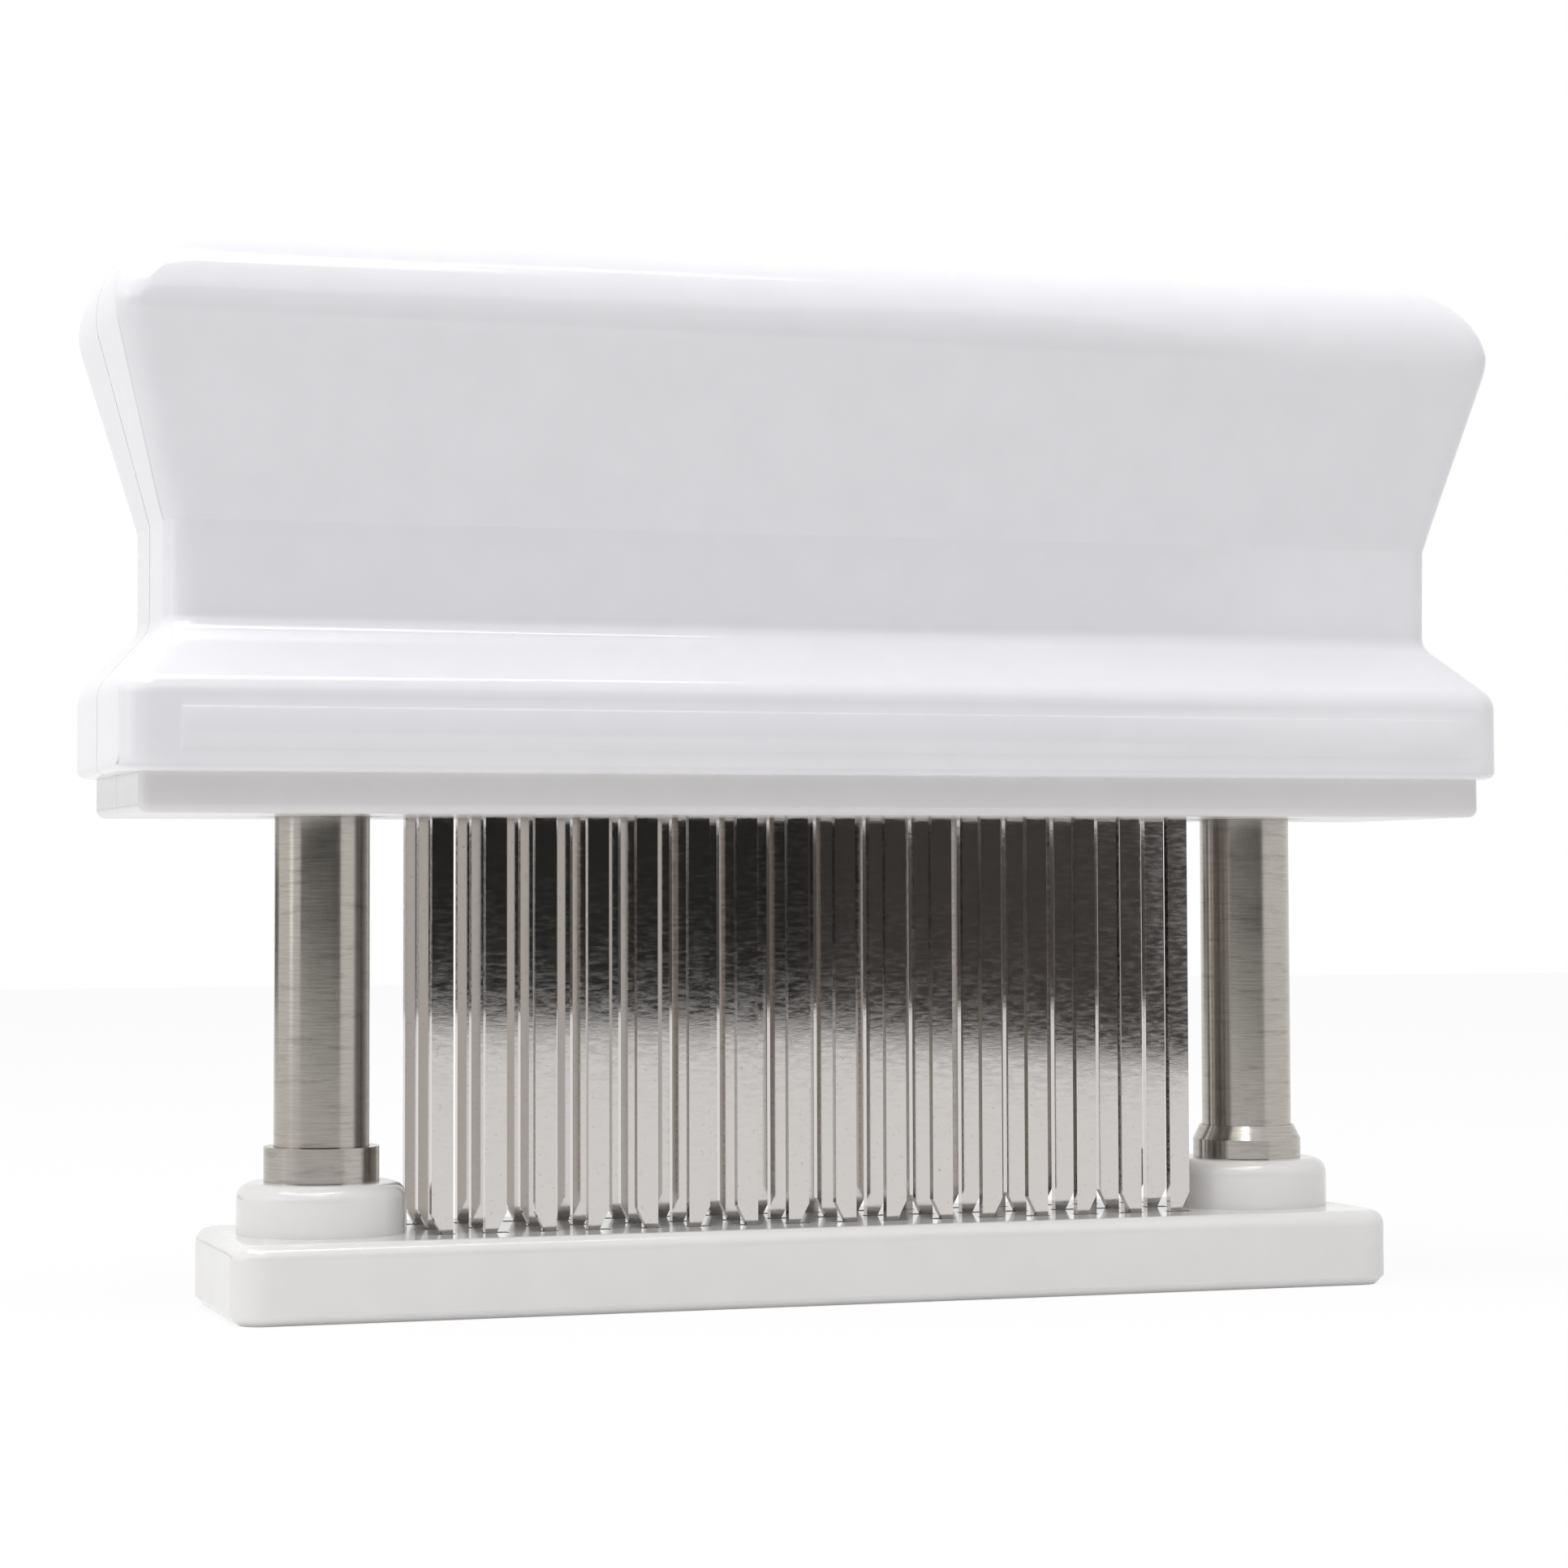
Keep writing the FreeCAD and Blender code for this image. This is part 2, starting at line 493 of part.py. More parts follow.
def housingForm(name, inset, bottom):
    """The housing's outside, moved in by the inset, from the given height upwards."""
    longWay = housingProfile("%sHalfLong", inset, bottom, [16] * 4)
    deepWay = housingProfile("%sHalfDeep", inset, bottom, [16] * 4)
    marks = (housingProfile("%sHalfLong", inset, bottom, [3, 3, 2, 9])
             + housingProfile("%sHalfDeep", inset, bottom, [1] * 4))
    heights = sorted({round(point.y, 4) for point in marks})
    levels = [heights[0]]
    for height in heights[1:]:
        if height - levels[-1] > 0.1 or height == heights[-1]:
            levels.append(height)
    crownZ = size("gripTopZ") - size("gripRound")
    wires = []
    for height in levels:
        if height <= size("shoulderLowZ"):
            corner = size("flangeCorner")
        elif height <= size("waistTopZ"):
            share = (height - size("shoulderLowZ")) / (size("waistTopZ") - size("shoulderLowZ"))
            corner = size("flangeCorner") + (size("waistCorner") - size("flangeCorner")) * share
        elif height <= crownZ:
            corner = size("gripCorner")
        else:
            share = (height - crownZ) / size("gripRound")
            corner = size("gripCorner") + (size("crownCorner") - size("gripCorner")) * share
        corner = max(corner - inset, 0.4)
        wires.append(levelWire(halfSizeAt(longWay, height), halfSizeAt(deepWay, height),
                               corner, height))
    made = doc.addObject("Part::Feature", name)
    made.Shape = Part.makeLoft(wires, True, True)
    return made


outer = housingForm("housing_outer", 0.0, size("flangeBottomZ"))
cavity = housingForm("housing_cavity", size("shellWall"), size("flangeBottomZ") - 2)
inner = housingForm("housing_inner", size("shellWall") - 0.3, size("frameTopZ"))
seamCore = housingForm("seam_core", size("seamDeep"), size("flangeBottomZ") - 2)
seam = cut("seam_groove",
           box("seam_slab", "-100", "-0.5*sizes.seamWide", "0", "200", "sizes.seamWide", "200"),
           [seamCore])
bead = cut("mouth_bead",
    box("bead_block", "-" + mouthHalfLong + "-0.3", "-" + mouthHalfDeep + "-0.3", "sizes.beadZ",
        "2*%s+0.6" % mouthHalfLong, "2*%s+0.6" % mouthHalfDeep, "sizes.beadTall"),
    [box("bead_core", "-" + mouthHalfLong + "+sizes.beadDeep",
         "-" + mouthHalfDeep + "+sizes.beadDeep", "sizes.beadZ-1",
         "2*(%s-sizes.beadDeep)" % mouthHalfLong, "2*(%s-sizes.beadDeep)" % mouthHalfDeep,
         "sizes.beadTall+2")])

# Ribs that press on the block's cover, rings round the spring seats, and screw bosses
ribTall = "%s-(%s+sizes.coverThick)+1" % (ceilingZ, coverZ)
insides = [box("rib_%d" % index, "%s-0.5*sizes.ribThick" % ribX, "-50",
               "%s+sizes.coverThick" % coverZ, "sizes.ribThick", "100", ribTall)
           for index, ribX in enumerate(("-sizes.ribX", "0", "sizes.ribX"), start=1)]
ringWells = []
for side, postX in sides.items():
    insides.append(cylinder("seat_ring_" + side, postX, "0", ceilingZ + "-sizes.seatRingTall",
                            "sizes.seatRadius+sizes.fitClear+sizes.seatRingWall",
                            "sizes.seatRingTall+1"))
    ringWells.append(cylinder("seat_well_" + side, postX, "0",
                              ceilingZ + "-sizes.seatRingTall-1",
                              "sizes.seatRadius+sizes.fitClear", "sizes.seatRingTall+1"))
screwPlaces = []
for side, sign in signs.items():
    screwPlaces.append(("low_" + side, "%d*sizes.lowScrewX" % sign, "sizes.lowScrewZ"))
    screwPlaces.append(("high_" + side, "%d*sizes.highScrewX" % sign, "sizes.highScrewZ"))
pilots = []
sinks = []
shellScrews = []
shankTip = "sizes.shellScrewSeatY-sizes.shellScrewLong"
for tag, screwX, screwZ in screwPlaces:
    insides.append(crossCylinder("screw_boss_" + tag, screwX, "-50", screwZ,
                                 "sizes.screwBoss", "100"))
    pilots.append(crossCylinder("pilot_" + tag, screwX, shankTip + "-0.5", screwZ,
                                "sizes.shellScrewRadius+sizes.fitClear", "20"))
    sinks += [crossCylinder("screw_way_" + tag, screwX, "0", screwZ,
                            "sizes.shellScrewRadius+0.15", "20"),
              crossCylinder("head_sink_" + tag, screwX, "sizes.shellScrewSeatY", screwZ,
                            "sizes.shellScrewHead+0.25", "20")]
    shellScrews += [crossCylinder("shell_shank_" + tag, screwX, shankTip, screwZ,
                                  "sizes.shellScrewRadius", "sizes.shellScrewLong+0.5"),
                    crossCylinder("shell_head_" + tag, screwX, "sizes.shellScrewSeatY", screwZ,
                                  "sizes.shellScrewHead", "sizes.shellScrewHeadTall")]
parts["shell_screws"] = fuse("shell_screws", shellScrews)
inside = common("housing_inside", fuse("inside_walls", insides), inner)
walls = cut("housing_walls", outer, [cavity])
housing = cut("housing_whole", fuse("housing_solid", [walls, inside, bead]),
              ringWells + [seam])
parts["front_shell"] = cut("front_shell", common("front_part", housing, halves["front"]), pilots)
parts["rear_shell"] = cut("rear_shell", common("rear_part", housing, halves["rear"]), sinks)

# Check every object, then write each piece
doc.recompute()
for item in doc.Objects:
    if "Invalid" in item.State or "Error" in item.State:
        raise RuntimeError("%s failed: %s" % (item.Name, item.State))
os.makedirs("parts", exist_ok=True)
for name, item in parts.items():
    item.Label = name
    if item.Shape.isNull() or not item.Shape.isValid():
        raise RuntimeError(name + " has no valid shape")
    item.Shape.exportStep("parts/%s.step" % name)
print("%d pieces written" % len(parts))
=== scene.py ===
import json
import math

import bmesh
import bpy
import numpy as np
from mathutils import Matrix, Vector


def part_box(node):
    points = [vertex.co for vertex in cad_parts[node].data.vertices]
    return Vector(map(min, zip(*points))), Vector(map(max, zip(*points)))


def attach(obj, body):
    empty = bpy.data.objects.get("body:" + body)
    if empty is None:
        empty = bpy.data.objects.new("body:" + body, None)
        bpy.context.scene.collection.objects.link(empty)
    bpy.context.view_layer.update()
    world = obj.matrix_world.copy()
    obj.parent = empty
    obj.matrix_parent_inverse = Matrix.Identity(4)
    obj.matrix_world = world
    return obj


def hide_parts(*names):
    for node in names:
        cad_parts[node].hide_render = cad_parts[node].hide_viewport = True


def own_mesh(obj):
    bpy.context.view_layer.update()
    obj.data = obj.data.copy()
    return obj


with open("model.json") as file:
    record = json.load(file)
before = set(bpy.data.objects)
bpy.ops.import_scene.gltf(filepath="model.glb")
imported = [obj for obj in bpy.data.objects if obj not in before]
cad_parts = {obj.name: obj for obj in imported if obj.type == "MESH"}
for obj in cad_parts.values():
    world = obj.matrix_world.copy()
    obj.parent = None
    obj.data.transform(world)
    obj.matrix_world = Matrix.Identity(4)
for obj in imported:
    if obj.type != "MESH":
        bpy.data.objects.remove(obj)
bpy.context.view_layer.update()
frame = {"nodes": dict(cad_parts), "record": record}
nodes = frame["nodes"]
mm = 0.001
print("frame loaded:", len(nodes), "nodes")


def linearColour(hexText):  # sRGB hex text to the linear values that shaders take
    parts = [int(hexText[i:i + 2], 16) / 255 for i in (1, 3, 5)]
    return (*[c / 12.92 if c <= 0.04045 else ((c + 0.055) / 1.055) ** 2.4 for c in parts], 1.0)


# Each input is a plain value or another node's output. A dictionary gives the socket's name
# or number, and a list fills the sockets in order. Of a Map Range, these are the value, the
# two ends it is read between and the two ends it is given.
def fillInputs(node, inputs):
    for key, value in inputs.items() if isinstance(inputs, dict) else enumerate(inputs):
        if isinstance(value, bpy.types.NodeSocket):
            node.id_data.links.new(value, node.inputs[key])
        else:
            node.inputs[key].default_value = value


# Adds one node with its own settings and its links
def addNode(tree, kind, settings={}, inputs={}):
    node = tree.nodes.new(kind)
    for name, value in settings.items():
        setattr(node, name, value)
    fillInputs(node, inputs)
    return node


def newMaterial(name):
    material = bpy.data.materials.new(name)
    material.use_nodes = True
    tree = material.node_tree
    tree.nodes.clear()
    shader = addNode(tree, "ShaderNodeBsdfPrincipled")
    addNode(tree, "ShaderNodeOutputMaterial", {}, {"Surface": shader.outputs["BSDF"]})
    place = addNode(tree, "ShaderNodeTexCoord").outputs["Object"]
    return material, tree, shader, place


def addObject(name, data):
    made = bpy.data.objects.new(name, data)
    bpy.context.scene.collection.objects.link(made)
    return made


# A mesh from points in metres and faces that list the points' numbers
def addMesh(name, points, faces):
    mesh = bpy.data.meshes.new(name)
    mesh.from_pydata(np.asarray(points, float).tolist(), [], [tuple(f) for f in faces])
    return addObject(name, mesh)


# Camera: the lens, place and turn were found by fitting the photo's edges
camera = {
    "lens": 88.0, "sensor": 36.0,
    "place": (-125.73, -379.34, 41.73),  # mm
    "azimuth": -18.086, "elevation": -2.828, "roll": -0.174,  # degrees
    "shiftUp": -0.0532, "clip": (0.01, 20),  # metres
}


def addCamera():
    data = bpy.data.cameras.new("camera")
    data.lens, data.sensor_width, data.shift_y = camera["lens"], camera["sensor"], camera["shiftUp"]
    data.clip_start, data.clip_end = camera["clip"]
    made = addObject("camera", data)
    azimuth, elevation, roll = (math.radians(camera[k]) for k in ("azimuth", "elevation", "roll"))
    forward = Vector((-math.sin(azimuth) * math.cos(elevation),
                      math.cos(azimuth) * math.cos(elevation), -math.sin(elevation)))
    right = Vector((math.cos(azimuth), math.sin(azimuth), 0))
    up = right.cross(forward)
    rolledRight = right * math.cos(roll) + up * math.sin(roll)
    rolledUp = up * math.cos(roll) - right * math.sin(roll)
    turn = Matrix((rolledRight, rolledUp, -forward)).transposed()
    made.matrix_world = Matrix.Translation(Vector(camera["place"]) * mm) @ turn.to_4x4()
    bpy.context.scene.camera = made


addCamera()
bpy.context.scene.view_settings.view_transform = "Standard"
print("camera set")


# Studio: white surroundings, paper on the table, and dark cards behind the camera that
# only reflections see. All places and sizes are in metres, powers in watts.
studio = {
    "fill": 0.49,  # world light that falls on the object
    "floorHalf": (1.5, 1.1), "floorPlace": (0, 0.2, -0.00005),  # a hair below the plate
    "shadowShare": 0.08,  # how much of the paper's own shading the camera sees
    "cards": [("left card", (-1.4, -0.1), (-1.4, -1.0), 0.5, "#2b2826"),
              ("back card", (-0.8, 0.9), (-0.24, 0.9), 0.064, "#55504c"),
              ("black card", (-1.4, -1.0), (0.05, -0.95), 0.5, "#141211"),
              ("turned card", (0.05, -0.95), (0.24, -0.72), 0.5, "#141211"),
              ("grey card", (0.24, -0.72), (0.25, -0.46), 0.5, "#3d3937")],
    "aim": (0, 0, 0.07),
    "lamps": [("overhead box", (-0.26, -0.18, 0.9), (0.9, 0.6), 6.3),
              ("left box", (-0.9, -0.15, 0.3), (0.5, 0.6), 0.8),
              ("front box", (-0.2, -1.0, 0.78), (0.7, 0.4), 0.45),
              ("strip light", (0.11, -0.28, 1.05), (0.4, 0.04), 0.75)],
}


# 1 for camera, glossy and transmission rays, which see a white backdrop
def whiteRays(tree):
    rays = addNode(tree, "ShaderNodeLightPath")
    seen = addNode(tree, "ShaderNodeMath", {"operation": "MAXIMUM"},
                   [rays.outputs["Is Camera Ray"], rays.outputs["Is Glossy Ray"]])
    return addNode(tree, "ShaderNodeMath", {"operation": "MAXIMUM"},
                   [seen.outputs[0], rays.outputs["Is Transmission Ray"]]).outputs[0]


def addSurroundings():
    world = bpy.data.worlds.new("studio")
    bpy.context.scene.world = world
    world.use_nodes = True
    tree = world.node_tree
    tree.nodes.clear()
    strength = addNode(tree, "ShaderNodeMapRange", {}, [
        whiteRays(tree), 0.0, 1.0, studio["fill"], 1.0])
    light = addNode(tree, "ShaderNodeBackground", {}, {"Color": (1, 1, 1, 1),
                                                       "Strength": strength.outputs[0]})
    addNode(tree, "ShaderNodeOutputWorld", {}, {"Surface": light.outputs[0]})


# A flat sheet about a centre, spanned by two half vectors
def stageSheet(name, centre, across, along, material):
    centre, across, along = (np.array(v, float) for v in (centre, across, along))
    corners = [centre - across - along, centre + across - along, centre + across + along,
               centre - across + along]
    made = addMesh(name, corners, [(0, 1, 2, 3)])
    made.data.materials.append(material)
    return made


# Seamless paper: matt, and seen as white with only a share of its own shading
def seamlessPaper():
    material, tree, shader, _ = newMaterial("seamless paper, matt white")
    fillInputs(shader, {"Base Color": linearColour("#f3f3f3"), "Roughness": 0.95,
                        "Specular IOR Level": 0.1})
    glow = addNode(tree, "ShaderNodeEmission", {}, {"Color": (1, 1, 1, 1), "Strength": 1.0})
    share = addNode(tree, "ShaderNodeMath", {"operation": "MULTIPLY"},
                    [whiteRays(tree), 1 - studio["shadowShare"]])
    both = addNode(tree, "ShaderNodeMixShader", {}, [
        share.outputs[0], shader.outputs[0], glow.outputs[0]])
    output = next(n for n in tree.nodes if n.type == "OUTPUT_MATERIAL")
    fillInputs(output, {"Surface": both.outputs[0]})
    return material


# An upright card that stands on the floor: matt card shows as an even dark field
def addCard(name, start, end, tall, colour):
    material, _, shader, _ = newMaterial(name + ", matt")
    fillInputs(shader, {"Base Color": linearColour(colour), "Roughness": 0.9})
    start, end = np.array([*start, 0]), np.array([*end, 0])
    rise = np.array([0, 0, tall / 2])
    card = stageSheet(name, (start + end) / 2 + rise, (end - start) / 2, rise, material)
    card.visible_camera = False


def addLamp(name, place, size, power):
    data = bpy.data.lights.new(name, "AREA")
    data.shape, data.size, data.size_y, data.energy = "RECTANGLE", *size, power
    made = addObject(name, data)
    made.location = place
    made.rotation_mode = "QUATERNION"
    made.rotation_quaternion = (Vector(studio["aim"]) - Vector(place)).to_track_quat("-Z", "Y")


addSurroundings()
halfX, halfY = studio["floorHalf"]
stageSheet("floor", studio["floorPlace"], (halfX, 0, 0), (0, halfY, 0), seamlessPaper())
for card in studio["cards"]:
    addCard(*card)
for lamp in studio["lamps"]:
    addLamp(*lamp)
print("studio set")


# Plastics: mm for the sizes of the patterns, metres for the depth of the bumps
plastics = {
    # a polished mould gives crisp light lines along every rounded edge
    "shell_plastic": {"name": "ABS, gloss moulded, cool white", "light": "#f0f0f4",
                      "shade": "#eeeef2", "rough": 0.08, "sinkDeep": 0.00003,
                      "peelDeep": 0.0000012},
    # a thick plate sinks a little more, so its light lines wander
    "plate_plastic": {"name": "polypropylene, gloss moulded, warm white", "light": "#efedec",
                      "shade": "#ecebea", "rough": 0.08, "sinkDeep": 0.00004,
                      "peelDeep": 0.000002},
    # a fine blasted mould spreads the light, and the halves' meeting shows as a thin line of
    # painted shade: darker colour that stands in for the shade in their seam
    "frame_plastic": {"name": "ABS, satin moulded, warm white", "light": "#e8e6e6",
                      "shade": "#e6e4e4", "rough": 0.2, "sinkDeep": 0.000004,
                      "peelDeep": 0.0000001, "partingShade": "#c9c7c4"},
    # fine tool marks leave it waxy and dull
    "bush_plastic": {"name": "acetal, machined, natural white", "light": "#e4e3df",
                     "shade": "#dddbd6", "rough": 0.34, "sinkDeep": 0.00001,
                     "peelDeep": 0.000003},
}
moulded = {
    "ripple": 12.0,  # mm, slow sink of the walls, which bends the reflections
    "peel": 1.4,  # mm, unevenness copied from the mould's steel
    "cloud": 5.0,  # mm, drift of the resin's tone
    "peelSpan": (0.3, 0.7), "cloudSpan": (0.35, 0.65),  # parts of each noise that are used
    "partingShadeHalf": 0.16,  # mm, half width of the painted shade line where two halves meet
    "duller": 0.05,  # how much roughness the peel adds
    "ior": 1.52,
}


# Injection moulded plastic: the polished mould leaves a gloss that slow sinks bend and fine
# peel softens, and the resin's tone drifts a little.
def mouldedPlastic(look):
    material, tree, shader, place = newMaterial(look["name"])
    ripple = addNode(tree, "ShaderNodeTexNoise", {}, {
        "Vector": place, "Scale": 1000 / moulded["ripple"], "Detail": 1.0})
    peel = addNode(tree, "ShaderNodeTexNoise", {}, {
        "Vector": place, "Scale": 1000 / moulded["peel"], "Detail": 2.0})
    cloud = addNode(tree, "ShaderNodeTexNoise", {}, {
        "Vector": place, "Scale": 1000 / moulded["cloud"], "Detail": 2.0})
    drift = addNode(tree, "ShaderNodeMapRange", {}, [cloud.outputs["Fac"], *moulded["cloudSpan"]])
    tone = addNode(tree, "ShaderNodeMix", {"data_type": "RGBA"}, {
        0: drift.outputs[0], 6: linearColour(look["shade"]), 7: linearColour(look["light"])})
    # Painted shade: a thin darker line of colour where the two halves meet at y = 0, standing in
    # for the shade in their seam
    if "partingShade" in look:
        axes = addNode(tree, "ShaderNodeSeparateXYZ", {}, [place])
        away = addNode(tree, "ShaderNodeMath", {"operation": "ABSOLUTE"}, [axes.outputs[1]])
        line = addNode(tree, "ShaderNodeMapRange", {}, [
            away.outputs[0], moulded["partingShadeHalf"] * mm / 2, moulded["partingShadeHalf"] * mm, 1, 0])
        tone = addNode(tree, "ShaderNodeMix", {"data_type": "RGBA"}, {
            0: line.outputs[0], 6: tone.outputs[2], 7: linearColour(look["partingShade"])})
    gloss = addNode(tree, "ShaderNodeMapRange", {}, [
        peel.outputs["Fac"], *moulded["peelSpan"], look["rough"],
        look["rough"] + moulded["duller"]])
    sinks = addNode(tree, "ShaderNodeBump", {}, {
        "Height": ripple.outputs["Fac"], "Distance": look["sinkDeep"], "Strength": 1.0})
    skin = addNode(tree, "ShaderNodeBump", {}, {
        "Height": peel.outputs["Fac"], "Distance": look["peelDeep"], "Strength": 1.0,
        "Normal": sinks.outputs[0]})
    fillInputs(shader, {"Base Color": tone.outputs[2], "Roughness": gloss.outputs[0],
                        "Normal": skin.outputs[0], "IOR": moulded["ior"]})
    return material


steels = {
    # turned and polished: upright bands of light, crossed by fine rings
    "post_steel": {"name": "stainless rod, turned and polished", "light": "#b3afa7",
                   "dark": "#847c74", "rough": 0.15},
    # rolled between polished rolls: bright, with a grey cast
    "spring_steel": {"name": "spring steel, bright rolled", "light": "#c4c0ba",
                     "dark": "#9a958d", "rough": 0.18},
    # cold headed and washed: a soft even shine
    "screw_steel": {"name": "stainless screw, cold headed", "light": "#c9c5bf",
                    "dark": "#a09a94", "rough": 0.18},
}
turned = {
    "ring": 0.2,  # mm between the tool's rings, coarser than real so that they show
    "scuff": 1.3,  # mm, length of the short scratches round the rod
    "patch": 9.0,  # mm, patches of duller metal
    "ringDeep": 0.0000022,  # metres
    "ringStretch": (0.05, 0.05, 1), "scuffStretch": (0.25, 0.25, 1.6),
    "ringSpan": (0.35, 0.6), "ringTone": (0.75, 1),  # part of the noise, and what it becomes
    "scuffSpan": (0.3, 0.46), "scuffTone": (0.5, 1), "patchSpan": (0.3, 0.7),
    "duller": 0.08,  # how much roughness a patch adds
}


# Stainless rod, turned and polished: long rings round the axis stretch each reflection up
# and down, short darker scratches lie along them, and patches are a little duller.
def turnedSteel(look):
    material, tree, shader, place = newMaterial(look["name"])
    ringPlace = addNode(tree, "ShaderNodeMapping", {}, {
        "Vector": place, "Scale": turned["ringStretch"]})
    scuffPlace = addNode(tree, "ShaderNodeMapping", {}, {
        "Vector": place, "Scale": turned["scuffStretch"]})
    rings = addNode(tree, "ShaderNodeTexNoise", {}, {
        "Vector": ringPlace.outputs[0], "Scale": 1000 / turned["ring"], "Detail": 3.0,
        "Roughness": 0.7})
    scuffs = addNode(tree, "ShaderNodeTexNoise", {}, {
        "Vector": scuffPlace.outputs[0], "Scale": 1000 / turned["scuff"], "Detail": 4.0,
        "Roughness": 0.7})
    patches = addNode(tree, "ShaderNodeTexNoise", {}, {
        "Vector": place, "Scale": 1000 / turned["patch"], "Detail": 3.0})
    ringTone = addNode(tree, "ShaderNodeMapRange", {}, [
        rings.outputs["Fac"], *turned["ringSpan"], *turned["ringTone"]])
    scuffTone = addNode(tree, "ShaderNodeMapRange", {}, [
        scuffs.outputs["Fac"], *turned["scuffSpan"], *turned["scuffTone"]])
    factor = addNode(tree, "ShaderNodeMath", {"operation": "MULTIPLY"}, [
        ringTone.outputs[0], scuffTone.outputs[0]])
    tone = addNode(tree, "ShaderNodeMix", {"data_type": "RGBA"}, {
        0: factor.outputs[0], 6: linearColour(look["dark"]), 7: linearColour(look["light"])})
    gloss = addNode(tree, "ShaderNodeMapRange", {}, [
        patches.outputs["Fac"], *turned["patchSpan"], look["rough"],
        look["rough"] + turned["duller"]])
    marks = addNode(tree, "ShaderNodeBump", {}, {
        "Height": rings.outputs["Fac"], "Distance": turned["ringDeep"], "Strength": 1.0})
    fillInputs(shader, {"Base Color": tone.outputs[2], "Roughness": gloss.outputs[0],
                        "Normal": marks.outputs[0], "Metallic": 1.0})
    return material


bladeStrip = {
    "light": "#cdc9c6", "dark": "#a9a39e", "rough": (0.04, 0.1),
    "grain": 0.3,  # mm, cross grain of the polishing belt, coarser than real so that it shows
    "pit": 0.5,  # mm, small pits in the strip
    "wave": 26.0,  # mm, waviness of the blanked blade
    "grainStretch": (0.25, 0.25, 1), "waveStretch": (1, 1, 0.2),
    "grainSpan": (0.3, 0.7), "pitSpan": (0.22, 0.38),
    "grainDeep": 0.0000008, "waveDeep": 0.00003,  # metres
}


# Stainless strip, blanked and polished: flat bright faces with a faint cross grain and a few
# pits, wavy enough to bend each blade's reflection its own way.
def bladeSteel():
    material, tree, shader, place = newMaterial("stainless strip, blanked and polished")
    across = addNode(tree, "ShaderNodeMapping", {}, {
        "Vector": place, "Scale": bladeStrip["grainStretch"]})
    tall = addNode(tree, "ShaderNodeMapping", {}, {
        "Vector": place, "Scale": bladeStrip["waveStretch"]})
    grain = addNode(tree, "ShaderNodeTexNoise", {}, {
        "Vector": across.outputs[0], "Scale": 1000 / bladeStrip["grain"], "Detail": 2.0,
        "Roughness": 0.6})
    pits = addNode(tree, "ShaderNodeTexNoise", {}, {
        "Vector": place, "Scale": 1000 / bladeStrip["pit"], "Detail": 3.0, "Roughness": 0.75})
    waves = addNode(tree, "ShaderNodeTexNoise", {}, {
        "Vector": tall.outputs[0], "Scale": 1000 / bladeStrip["wave"], "Detail": 0.0})
    clean = addNode(tree, "ShaderNodeMapRange", {}, [pits.outputs["Fac"], *bladeStrip["pitSpan"]])
    tone = addNode(tree, "ShaderNodeMix", {"data_type": "RGBA"}, {
        0: clean.outputs[0], 6: linearColour(bladeStrip["dark"]),
        7: linearColour(bladeStrip["light"])})
    gloss = addNode(tree, "ShaderNodeMapRange", {}, [
        grain.outputs["Fac"], *bladeStrip["grainSpan"], *bladeStrip["rough"]])
    bend = addNode(tree, "ShaderNodeBump", {}, {
        "Height": waves.outputs["Fac"], "Distance": bladeStrip["waveDeep"], "Strength": 1.0})
    lines = addNode(tree, "ShaderNodeBump", {}, {
        "Height": grain.outputs["Fac"], "Distance": bladeStrip["grainDeep"],
        "Strength": 1.0, "Normal": bend.outputs[0]})
    fillInputs(shader, {"Base Color": tone.outputs[2], "Roughness": gloss.outputs[0],
                        "Normal": lines.outputs[0], "Metallic": 1.0})
    return material


finishes = {slot: mouldedPlastic(look) for slot, look in plastics.items()}
finishes.update({slot: turnedSteel(look) for slot, look in steels.items()})
finishes["blade_steel"] = bladeSteel()
for part in frame["record"]["subparts"]:
    mesh = nodes[part["node"]].data
    mesh.materials.clear()
    mesh.materials.append(finishes[part["material_slot"]])
print("materials made:", len(finishes))


# Mesh tools: every shape is worked out as arrays in millimetres
meshRules = {"sharp": 35,  # degrees, edges above this stay sharp
             "merge": 2e-6, "least": 1e-6}  # metres, doubled points and lost edges


def newPiece(name, points, faces, body, slot):
    made = addMesh(name, points * mm, faces)
    made.data.materials.append(finishes[slot])
    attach(made, body)
    return cleanMesh(made)


# Merges doubled points, turns the faces outwards and keeps edges over the angle sharp
def cleanMesh(piece):
    made = bmesh.new()
    made.from_mesh(piece.data)
    bmesh.ops.remove_doubles(made, verts=made.verts, dist=meshRules["merge"])
    bmesh.ops.dissolve_degenerate(made, dist=meshRules["least"], edges=made.edges)
    bmesh.ops.recalc_face_normals(made, faces=made.faces)
    made.to_mesh(piece.data)
    made.free()
    piece.data.polygons.foreach_set("use_smooth", np.full(len(piece.data.polygons), True))
    piece.data.set_sharp_from_angle(angle=math.radians(meshRules["sharp"]))
    return piece


# Cuts a shape out of a piece and bakes the cut into its mesh
def cutOut(piece, points, faces):
    cutter = cleanMesh(addMesh("cutter", points * mm, faces))
    change = piece.modifiers.new("cut", "BOOLEAN")
    change.operation, change.solver, change.object = "DIFFERENCE", "EXACT", cutter
    baked = piece.evaluated_get(bpy.context.evaluated_depsgraph_get())
    piece.data = bpy.data.meshes.new_from_object(baked)
    piece.modifiers.clear()
    bpy.data.objects.remove(cutter)
    return cleanMesh(piece)


# Quads of a grid of points stored row by row
def gridFaces(rows, columns, offset=0):
    first = np.arange(rows - 1)[:, None] * columns + np.arange(columns - 1)[None, :] + offset
    first = first.ravel()
    return np.stack([first, first + 1, first + columns + 1, first + columns], axis=1)


